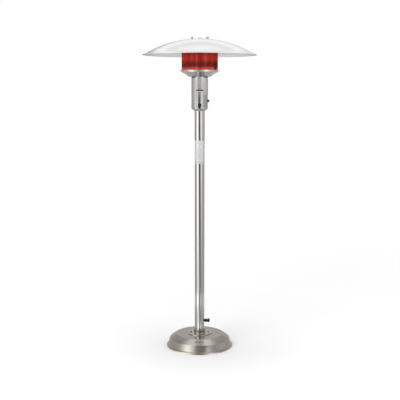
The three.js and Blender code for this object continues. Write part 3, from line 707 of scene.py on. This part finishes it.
def makeKnob():
    look = knobLook
    front = -nodeBox("control_knob")[0].y
    back = front - look["depth"]
    face = front - look["ridgeRise"]
    head, tip, half, stem = look["head"], look["tip"], look["ridgeHalf"], look["stem"]
    distance = look["reach"] - tip
    knob = drum(head, back, face, 64, name="controlKnob")
    hullWith(knob, drum(tip, back, face, 32, (0, -distance)))
    bevelEdges(knob, look["edge"], 5, 50)
    ridge = block((-half, -distance, face - 2), (half, head - 3, front))
    bevelEdges(ridge, 0.5, 3)
    joinWith(knob, ridge)
    cutWith(knob, drum(look["socket"], back - 4, back + 8, 32))
    place = (0, 0, look["axisHeight"])
    settle(knob, place, towardsFront)
    finishPiece(knob, knobPlastic, "black_plastic", "control_knob", body="knob")

    low, high = nodeBox("valve_stem")
    rod = spun("valveStem", [(0, -high.y), (stem, -high.y, 0.4), (stem, -low.y, 0.5), (0, -low.y)], 3, 48)
    settle(rod, place, towardsFront)
    finishPiece(rod, turnedBrass, "brass", "valve_stem", body="knob")


buttonLook = {
    "radius": 8.4, "collar": 9.3, "collarBack": 3.6, "dome": 2.8, "crown": 0.62, "dish": 0.7, "bezel": 10.5,
    "play": 0.3, "sides": 64}


def makeButton():
    look = buttonLook
    low, high = nodeBox("igniter_button")
    bezelLow, bezelHigh = nodeBox("igniter_bezel")
    radius, collar, dome, sides = look["radius"], look["collar"], look["dome"], look["sides"]
    step = bezelLow.x - look["collarBack"]
    button = spun("igniterButton", [
        (0, low.x), (collar, low.x, 0.3), (collar, step, 0.2), (radius, step),
        (radius, high.x - dome * 0.4, dome), (radius * look["crown"], high.x, 1.2),
        (0, high.x - look["dish"])], 5, sides)
    bezel = tube("igniterBezel", radius + look["play"], look["bezel"], bezelLow.x, bezelHigh.x,
                 (0, 0.2, 1.4, 0.4), 4, sides)
    for piece in (button, bezel):
        settle(piece, (0, 0, middleOf("igniter_button").z), towardsRight)
    finishPiece(button, knobPlastic, "black_plastic", "igniter_button", body="igniter_push")
    finishPiece(bezel, knobPlastic, "black_plastic", "igniter_bezel")


makeCone()
makeHousing()
makeCurvedSheet("valveShroud", shroudLook, polishedSteel, "polished_steel", "valve_shroud")
makeCurvedSheet("sidePanel", panelLook, panelSteel, "dull_steel", "side_panel")
makeKnob()
makeButton()
print("control housing made")


# Burner bowl

bowlLook = {
    "bore": 19.3, "floor": 78, "lip": 138.2, "lipHeight": 15, "lipRound": 2.2, "shelf": 12,
    "spigot": 58, "spigotDepth": 13, "leadHole": 2.9, "leadSpread": 0.22, "sheet": 1.5, "screwHole": 2.2,
    "sides": 192}
screwLook = {
    "head": 3.1, "headLength": 3, "shank": 1.9, "tail": 3, "reach": 13, "nut": 3, "nutSpan": (0.3, 3.3)}


def makeBowl():
    look = bowlLook
    low, high = nodeBox("burner_bowl")
    floor, crest = low.z + look["spigotDepth"], high.z
    lip, curl, sheet, spigot = look["lip"], look["lipRound"], look["sheet"], look["spigot"]
    bowl = spun("burnerBowl", [
        (look["bore"], floor), (look["floor"], floor, 3), (lip, crest - look["lipHeight"], curl),
        (lip, crest, curl), (lip - look["shelf"], crest)], 6, look["sides"])
    thicken(bowl, sheet)
    joinWith(bowl, tube("spigot", spigot - sheet, spigot, low.z, floor + 0.8, (0.4, 0.6, 0, 0), 3,
                        look["sides"]))
    height = middleOf("bowl_screw_1").z
    holes = [settle(drum(look["screwHole"], 125, 150, 24), (0, 0, height), (0, quarter, i * quarter))
             for i in range(4)]
    circle = middleOf("pilot_hood").y
    for i in (-1, 0, 1):
        spot = onCircle(circle, quarter + i * look["leadSpread"])
        holes.append(drum(look["leadHole"], floor - 30, floor + 12, 24, spot))
    cutWith(bowl, *holes)
    finishPiece(bowl, bowlSteel, "brushed_steel", "burner_bowl")

    look = screwLook
    reach, shank, head, tail = look["reach"], look["shank"], look["head"], look["tail"]
    seat = reach - look["headLength"]
    screw = spun("bowlScrew1", [
        (0, -tail), (shank, -tail, 0.3), (shank, seat), (head, seat, 0.4), (head, reach - 0.9, 1.4),
        (1.2, reach, 0.6), (0, reach - 0.3)], 3, 32)
    nut = drum(look["nut"], *look["nutSpan"], 6)
    bevelEdges(nut, 0.35, 2)
    joinWith(screw, nut)
    settle(screw, (lip, 0, height), towardsRight)
    finishRow(screw, zincSteel, "zinc_steel", "bowl_screw", [axis] * 4, [i * quarter for i in range(4)])


makeBowl()
print("bowl made")


# Emitter

screenLook = {
    "radius": 136.3, "sheet": 0.8, "border": 5, "columns": 88, "rows": 15, "web": 1, "corner": 1.5,
    "strength": 0.75}
pleatLook = {"inner": 122, "outer": 130, "sheet": 0.8, "count": 32, "steps": 8, "strength": 1.35}
glowLook = {
    "skin": (0.02, 0.008, 0.007), "left": (0.5, 0.024, 0.014), "right": (0.345, 0.019, 0.011),
    "turn": (-0.135, -0.085), "ember": (0.42, 0.075, 0.055), "flame": (0.74, 0.085, 0.055),
    "dark": (0.03, 0.006, 0.006), "streak": (0.75, 0.2, 0.03), "streakPlace": -24.5, "streakHalf": 2.4,
    "streakSpan": (0.05, 0.45), "patchPlace": 117, "patchHalf": 11, "patchSpan": (0.28, 0.38),
    "flameSpan": (0.075, 0.175), "streakGrain": (70, 70, 3), "waverGrain": (22, 22, 9), "waver": 0.1,
    "profile": [(0, 0.9), (0.05, 1), (0.1, 0.62), (0.15, 0.38), (0.2, 0.32), (0.25, 0.31), (0.3, 0.41),
                (0.345, 0.58), (0.39, 0.78), (0.44, 0.95), (0.5, 1.06), (0.56, 1.03), (0.62, 0.92),
                (0.68, 0.74), (0.74, 0.56), (1, 0.45)],
    "columns": [(-57, 17, 0.1), (-20, 8, 0.18), (5, 15, -0.45), (42, 22, 0.22), (88, 10, 0.06)]}


def nearNode(value, place, half):
    # 1 at a place across the screen, 0 at half a width from it, in millimetres
    distance = mathNode("ABSOLUTE", mathNode("SUBTRACT", value, place * milli))
    return rangeNode(distance, 1, 0, 0, half * milli)


def makeGlow(name, strength, bottom, top):
    # emission by place: brighter on one side, a dark band below the middle, flames at the foot
    look = glowLook
    finish, shader = startFinish(name, look["skin"], 0.7, 0)
    place = placeNode(shader)
    across, depth, rise = splitNode(place)
    height = rangeNode(rise, 0, 1, bottom * milli, top * milli)
    front = mathNode("LESS_THAN", depth, 0)
    streaks = noiseNode(scaledNode(place, look["streakGrain"]), 1, 3, 0.65)
    waver = noiseNode(scaledNode(place, look["waverGrain"]), 1)
    middle = mathNode("SUBTRACT", height, look["waver"] / 2)
    profile = rampNode(mathNode("MULTIPLY_ADD", waver, look["waver"], middle), look["profile"])
    # brighter, more orange columns and a darker one, as the flames behind the front lie
    gain = 0
    for spot, half, share in look["columns"]:
        gain = mathNode("MULTIPLY_ADD", nearNode(across, spot, half), share, gain)
    gain = mathNode("MULTIPLY", gain, front)
    body = mixNode(rangeNode(across, 0, 1, *look["turn"]), look["left"], look["right"])
    warmed = mixNode(rangeNode(gain, 0, 0.8, 0, 0.4), body, look["ember"])
    foot = rangeNode(height, 1, 0, *look["flameSpan"])
    flames = mathNode("MULTIPLY", foot, rangeNode(streaks, 0.45, 1, 0.4, 0.6))
    flamed = mixNode(flames, warmed, look["flame"])
    # a thin orange flame left of the front's middle, and a dark patch low on the right
    thin = mathNode("MULTIPLY", nearNode(across, look["streakPlace"], look["streakHalf"]), front)
    flame = mathNode("MULTIPLY", thin, rangeNode(height, 1, 0.15, *look["streakSpan"]))
    lit = mixNode(flame, flamed, look["streak"])
    patch = mathNode("MULTIPLY", nearNode(across, look["patchPlace"], look["patchHalf"]),
                     rangeNode(height, 1, 0, *look["patchSpan"]))
    banded = mathNode("MULTIPLY", profile, rangeNode(streaks, 0.66, 1.25))
    level = mathNode("MULTIPLY", mathNode("MULTIPLY_ADD", banded, gain, banded),
                     rangeNode(patch, 1, 0.1, 0, 0.5))
    setInputs(shader, {
        "Specular IOR Level": 0.12, "Emission Strength": strength,
        "Emission Color": mixNode(level, look["dark"], lit, clamp_factor=False)})
    return finish


def makeScreen():
    look = screenLook
    low, high = nodeBox("emitter_screen")
    border, rows = look["border"], look["rows"]
    heights = [low.z + border + (high.z - low.z - 2 * border) * i / rows for i in range(rows + 1)]
    screen = turnShell("emitterScreen", [(look["radius"], z) for z in [low.z, *heights, high.z]],
                       look["columns"])
    start, end = heights[0] * milli - hair, heights[-1] * milli + hair

    def square(point, ends):
        # these edges go after the poke, so each hole sits in a diamond of its own
        rise = abs((ends[1] - ends[0]).normalized().z)
        return (rise > 0.999 or rise < 0.001) and start + 2 * hair < point.z < end - 2 * hair

    def diamond(point, corners):
        levels = {round(corner.z, 5) for corner in corners}
        return len(corners) == 4 and len(levels) == 3 and start < point.z < end
    selectPart(screen, "FACE", lambda point, corners: start < point.z < end)
    bpy.ops.mesh.poke()
    selectPart(screen, "EDGE", square)
    bpy.ops.mesh.dissolve_edges(use_verts=False)
    selectPart(screen, "FACE", diamond)
    bpy.ops.mesh.inset(thickness=look["web"] * milli, use_individual=True, use_even_offset=True)
    bpy.ops.mesh.bevel(offset=look["corner"] * milli, segments=1, affect="VERTICES")
    selectPart(screen, "FACE", lambda point, corners: len(corners) == 8)
    bpy.ops.mesh.delete(type="FACE")
    switchTo("OBJECT")
    thicken(screen, look["sheet"])
    finish = makeGlow("glowingScreen", look["strength"], low.z, high.z)
    finishPiece(screen, finish, "glowing_screen", "emitter_screen")


def makePleats():
    look = pleatLook
    low, high = nodeBox("inner_emitter")
    inner, outer, steps = look["inner"], look["outer"], look["steps"]
    sides = look["count"] * steps
    pleats = turnShell("innerEmitter", [(outer, low.z), (outer, high.z)], sides)
    for step in range(1, steps // 2 + 1):
        def inFold(point, corners):
            turn = round(math.atan2(point.y, point.x) / (2 * math.pi) * sides) % steps
            return min(turn, steps - turn) == step
        selectPart(pleats, "VERT", inFold)
        share = ((outer + inner) / 2 + (outer - inner) / 2 * math.cos(2 * math.pi * step / steps)) / outer
        bpy.ops.transform.resize(value=(share, share, 1), center_override=axis)
    switchTo("OBJECT")
    thicken(pleats, look["sheet"])
    finish = makeGlow("glowingPleats", look["strength"], low.z, high.z)
    finishPiece(pleats, finish, "glowing_pleats", "inner_emitter", smooth=50)


capLook = {"radius": 138.1, "round": 1.6, "sheet": 1.5, "sides": 160}


def makeCap():
    look = capLook
    low, high = nodeBox("emitter_cap")
    radius = look["radius"]
    cap = spun("emitterCap", [(radius, low.z), (radius, high.z, look["round"]), (40, high.z), (0, high.z)], 5,
               look["sides"])
    thicken(cap, look["sheet"])
    finishPiece(cap, dullSteel, "dull_steel", "emitter_cap")


makeScreen()
makePleats()
makeCap()
print("emitter made")


# Reflector

domeLook = {
    "rim": 432, "hem": 1.6, "crownRadius": 785, "crownEdge": 393, "blend": 40, "sheet": 1.5,
    "studHole": 3.4, "sides": 256}
studLook = {
    "circle": 66, "radius": 3, "foot": 7, "footHeight": 5, "spacer": 7.5, "spacerWall": 2,
    "washer": 9, "play": 0.3}
wingLook = {
    "hub": 6.2, "hubTop": 4.8, "height": 7.5, "reach": 13, "rise": 11.5, "round": 4.2, "thickness": 2.6,
    "root": 4.6, "rootHalf": 0.6, "turns": (0.5, -0.9, 0.12)}
studSpots = [onCircle(studLook["circle"], quarter + i * math.pi * 2 / 3) for i in range(3)]


def makeDome():
    look = domeLook
    low, high = nodeBox("reflector")
    bend, radius = look["hem"], look["crownRadius"]
    edge = math.degrees(math.acos(look["crownEdge"] / radius))
    crown = arcPoints((0, high.z - radius), radius, edge, 90, 22)
    hem = arcPoints((look["rim"] - bend, low.z + bend), bend, -210, 50, 10)
    slope = rounded([hem[-1], (*crown[0], look["blend"]), crown[3]], 6)
    dome = turnShell("reflectorDome", hem[:-1] + slope[:-1] + crown[3:], look["sides"])
    thicken(dome, look["sheet"])
    cutWith(dome, *[drum(look["studHole"], high.z - 30, high.z + 20, 32, spot) for spot in studSpots])
    finishPiece(dome, spunAluminium, "polished_aluminium", "reflector")


def makeWingNut(bore):
    look = wingLook
    height, curve, half, width = look["height"], look["round"], look["thickness"] / 2, look["rootHalf"]
    nut = spun("wingNut1", [(bore, 0), (look["hub"], 0, 0.4), (look["hubTop"], height, 0.8), (bore, height)],
               3, 48, True)
    for side in (-1, 1):
        root = side * look["root"]
        ear = drum(curve, -half, half, 32, (side * (look["reach"] - curve), look["rise"] - curve))
        hullWith(ear, block((root - width, 0.4, -half - 0.5), (root + width, height - 0.6, half + 0.5)))
        bevelEdges(ear, 0.5, 3)
        joinWith(nut, settle(ear, turn=towardsFront))
    return settle(nut, (0, 0, nodeBox("wing_nut_1")[0].z))


def makeStuds():
    look = studLook
    low, high = nodeBox("reflector_stud_1")
    step = low.z + look["footHeight"]
    radius, foot, width = look["radius"], look["foot"], look["spacer"]
    bore = radius + look["play"]
    stud = spun("reflectorStud1", [
        (0, low.z), (foot, low.z, 0.4), (foot, step, 0.8), (radius, step, 0.5), (radius, high.z, 0.7),
        (0, high.z)], 3, 32)
    low, high = nodeBox("stud_spacer_1")
    spacer = tube("studSpacer1", width - look["spacerWall"], width, low.z, high.z, (0, 0.5, 0.5, 0), 3, 48)
    low, high = nodeBox("nut_washer_1")
    washer = tube("nutWasher1", bore, look["washer"], low.z, high.z, (0, 0.3, 0.5, 0), 3, 48)
    places = [(*spot, 0) for spot in studSpots]
    for node, piece in [("reflector_stud", stud), ("stud_spacer", spacer), ("nut_washer", washer),
                        ("wing_nut", makeWingNut(bore))]:
        finishRow(piece, zincSteel, "zinc_steel", node, places, wingLook["turns"])


makeDome()
makeStuds()
print("reflector made")


# Inner parts that keep the frame's shapes, with finishes of their own

innerFinishes = {
    "base_weight": castIron, "inlet_elbow": zincSteel, "gas_supply_pipe": zincSteel, "valve_shelf": dullSteel,
    "gas_valve": valveAlloy, "valve_plunger": turnedBrass, "igniter_body": knobPlastic,
    "outlet_pipe": turnedBrass, "burner_jet": turnedBrass, "mixing_tube": zincSteel, "burner_head": zincSteel,
    "pilot_tube": zincSteel, "thermocouple": turnedBrass, "spark_electrode": whiteCeramic,
    "pilot_hood": dullSteel}
for node, finish in innerFinishes.items():
    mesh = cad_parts[node].data
    mesh.materials.clear()
    mesh.materials.append(finish)
print("inner parts dressed:", len(innerFinishes))


# Studio

cameraLook = {"place": (0.0021, -6.349, 1.984), "turn": (82.5, -0.05, 0), "lens": 75.15, "sensor": 36}
bpy.ops.object.camera_add(location=cameraLook["place"],
                          rotation=[math.radians(angle) for angle in cameraLook["turn"]])
camera = bpy.context.object
camera.data.lens = cameraLook["lens"]
camera.data.sensor_width = cameraLook["sensor"]
bpy.context.scene.camera = camera

floorLook = {
    "size": 60, "drop": 0.0005, "colour": (0.72, 0.72, 0.72), "reach": 16,
    "lift": [(0, 0.165), (1, 0.225), (3, 0.34), (6, 0.46), (10, 0.55), (16, 0.575)]}


def seenNode(near):
    # 1 for what a camera, mirror or glass sees, and 0 for light that falls on something
    path = addNode(near, "LightPath", {}).node.outputs
    seen = mathNode("MAXIMUM", path["Is Camera Ray"], path["Is Glossy Ray"])
    return mathNode("MAXIMUM", seen, path["Is Transmission Ray"])


def awayNode(place, near, far):
    # 0 at one distance from the origin and 1 at another, in metres
    distance = addNode(place, "VectorMath", {0: place}, "Value", operation="LENGTH")
    return rangeNode(distance, 0, 1, near, far)


def makeFloor():
    look = floorLook
    bpy.ops.mesh.primitive_plane_add(size=look["size"], location=(0, 0, -look["drop"]))
    floor = named("studioFloor")
    finish, shader = startFinish("paleFloor", look["colour"], 0.9, 0)
    # the floor is seen white to its far edge, and only as white as the lamps leave it under the heater
    lift = rampNode(awayNode(placeNode(shader), 0, look["reach"]),
                    [(spot / look["reach"], level) for spot, level in look["lift"]])
    setInputs(shader, {
        "Specular IOR Level": 0, "Emission Color": (1, 1, 1, 1),
        "Emission Strength": mathNode("MULTIPLY", seenNode(shader), lift)})
    floor.data.materials.append(finish)


worldLook = {"ambient": 0.62}


def makeWorld():
    world = bpy.data.worlds.new("paleStudio")
    bpy.context.scene.world = world
    world.use_nodes = True
    background = world.node_tree.nodes["Background"]
    rest = worldLook["ambient"]
    setInputs(background, {
        "Color": (1, 1, 1, 1), "Strength": mathNode("MULTIPLY_ADD", seenNode(background), 1 - rest, rest)})


# What polished steel sees round it: brightness in hundredths by azimuth from the camera's side, left
# negative. The wall blends from one pattern to the next over the heights given, in metres.
baseTent = {
    -180: 52, -117: 58, -93: 62, -80: 54, -69: 60, -59: 92, -50: 150, -43: 205, -36: 200, -29: 135, -21: 74,
    -13: 38, -6: 26, 10: 23, 19: 42, 25: 100, 32: 92, 40: 60, 50: 40, 75: 54, 95: 62, 115: 62, 140: 56}
footTent = {
    -180: 54, -140: 48, -118: 49, -90: 35, -72: 40, -60: 70, -46: 88, -30: 96, -18: 88, -12: 38, 6: 27,
    14: 20, 26: 16, 36: 38, 48: 43, 62: 38, 95: 41, 140: 48}
lowTent = {
    -180: 52, -140: 40, -118: 36, -92: 37, -73: 50, -61: 112, -42: 142, -28: 112, -17: 70, -11: 14, 7: 6,
    18: 14, 29: 50, 46: 68, 60: 43, 95: 38, 140: 40}
middleTent = {
    -180: 66, -162: 50, -140: 46, -118: 32, -98: 42, -75: 60, -63: 120, -43: 152, -35: 105, -22: 78, -14: 10,
    5: 3, 12: 24, 24: 50, 34: 100, 50: 92, 60: 50, 95: 39, 125: 40, 145: 54}
highTent = {
    -180: 70, -162: 52, -140: 48, -118: 40, -96: 44, -75: 62, -63: 124, -46: 162, -38: 110, -31: 76, -20: 60,
    -16: 2, 4: 0, 9: 60, 19: 80, 36: 102, 50: 92, 60: 55, 95: 48, 125: 42, 145: 58}
slotTent = {
    -180: 50, -128: 45, -104: 60, -80: 66, -64: 84, -44: 110, -30: 60, -17: 15, 0: 8, 10: 26, 20: 66, 30: 94,
    46: 96, 56: 66, 75: 60, 95: 64, 120: 48, 140: 45}
housingTent = {
    -180: 50, -128: 44, -104: 60, -80: 70, -50: 74, -30: 78, -12: 88, 8: 88, 24: 64, 42: 58, 54: 78, 68: 94,
    90: 82, 110: 70, 140: 50}
lipTent = {
    -176: 42, -165: 12, -148: 18, -135: 44, -113: 56, -88: 48, -76: 80, -62: 135, -50: 200, -40: 165, -30: 85,
    -18: 40, -8: 20, 10: 22, 18: 55, 28: 135, 40: 210, 50: 155, 60: 80, 75: 55, 100: 44, 125: 52}
crestTent = {-176: 70, -165: 25, -148: 32, -135: 66, -100: 74, -80: 115, -24: 115, -4: 74, 130: 74}
tentLook = {
    "radius": 1.2, "top": 5, "discRadius": 1.19, "discRise": 0.002, "sides": 96,
    "wall": [(0.11, baseTent), (0.15, footTent), (0.78, lowTent), (1.34, middleTent), (1.8, highTent),
             (1.85, highTent), (1.88, slotTent), (1.965, slotTent), (1.995, housingTent), (2.1, housingTent),
             (2.135, lipTent), (2.24, lipTent), (2.36, crestTent), (2.56, crestTent), (2.74, {0: 80}),
             (3.05, {0: 105}), (3.42, {0: 80}), (3.7, {0: 86}), (4.1, {0: 100})],
    "floorNear": {-180: 42, -62: 42, -46: 105, -34: 180, -22: 175, -11: 62, -4: 20, 5: 20, 12: 85, 20: 165,
                  30: 95, 40: 46, 120: 42},
    "nearRadius": 0.42, "farRadius": 0.8}


def stripesNode(turn, pattern):
    # a colour ramp round the axis; the radial gradient starts at +X and runs anticlockwise
    stops = sorted(((0.25 + azimuth / 360) % 1, level / 100) for azimuth, level in pattern.items())
    (firstSpot, firstLevel), (lastSpot, lastLevel) = stops[0], stops[-1]
    share = (1 - lastSpot) / (1 - lastSpot + firstSpot)
    seam = lastLevel + (firstLevel - lastLevel) * share
    return rampNode(turn, [(0, seam), (1, seam), *stops])


def startCard(name):
    finish = bpy.data.materials.new(name)
    finish.use_nodes = True
    nodes = finish.node_tree.nodes
    nodes.remove(nodes["Principled BSDF"])
    place = placeNode(nodes[0])
    return finish, place, addNode(place, "TexGradient", {0: place}, 1, gradient_type="RADIAL")


def hangCard(piece, finish, colour):
    # a card that only mirrors see
    glow = addNode(colour, "Emission", {0: colour})
    setInputs(finish.node_tree.nodes["Material Output"], {0: glow})
    piece.data.materials.append(finish)
    piece.visible_camera = piece.visible_diffuse = False
    piece.visible_shadow = piece.visible_transmission = False


def makeTent():
    look = tentLook
    bpy.ops.mesh.primitive_cylinder_add(
        vertices=look["sides"], radius=look["radius"], depth=look["top"], end_fill_type="NOTHING",
        location=(0, 0, look["top"] / 2))
    tent = named("lightTent")
    finish, place, turn = startCard("tentCloth")
    height = splitNode(place)[2]
    bands = look["wall"]
    colour = stripesNode(turn, bands[0][1])
    for (start, _), (end, pattern) in zip(bands, bands[1:]):
        colour = mixNode(rangeNode(height, 0, 1, start, end), colour, stripesNode(turn, pattern))
    hangCard(tent, finish, colour)

    bpy.ops.mesh.primitive_circle_add(vertices=look["sides"], radius=look["discRadius"], fill_type="NGON",
                                      location=(0, 0, look["discRise"]))
    disc = named("lightDisc")
    finish, place, turn = startCard("discCloth")
    share = awayNode(place, look["nearRadius"], look["farRadius"])
    near, far = stripesNode(turn, look["floorNear"]), stripesNode(turn, footTent)
    hangCard(disc, finish, mixNode(share, near, far))


# place, size and power
lampLooks = {
    "keyLamp": ((-3, -4, 4.6), 3, 190), "fillLamp": ((3.6, -3.4, 3.4), 3, 60),
    "topLamp": ((0, 0.5, 8), 2.4, 120)}
lampAim = (0, 0, 1.1)


def makeLamps():
    for name, (place, size, power) in lampLooks.items():
        bpy.ops.object.light_add(type="AREA", location=place)
        lamp = bpy.context.object
        lamp.name = name
        lamp.data.size = size
        lamp.data.energy = power
        lamp.rotation_euler = (Vector(lampAim) - Vector(place)).to_track_quat("-Z", "Y").to_euler()
        lamp.visible_glossy = False


makeFloor()
makeWorld()
makeTent()
makeLamps()
bpy.context.scene.view_settings.view_transform = "Standard"
print("studio made")
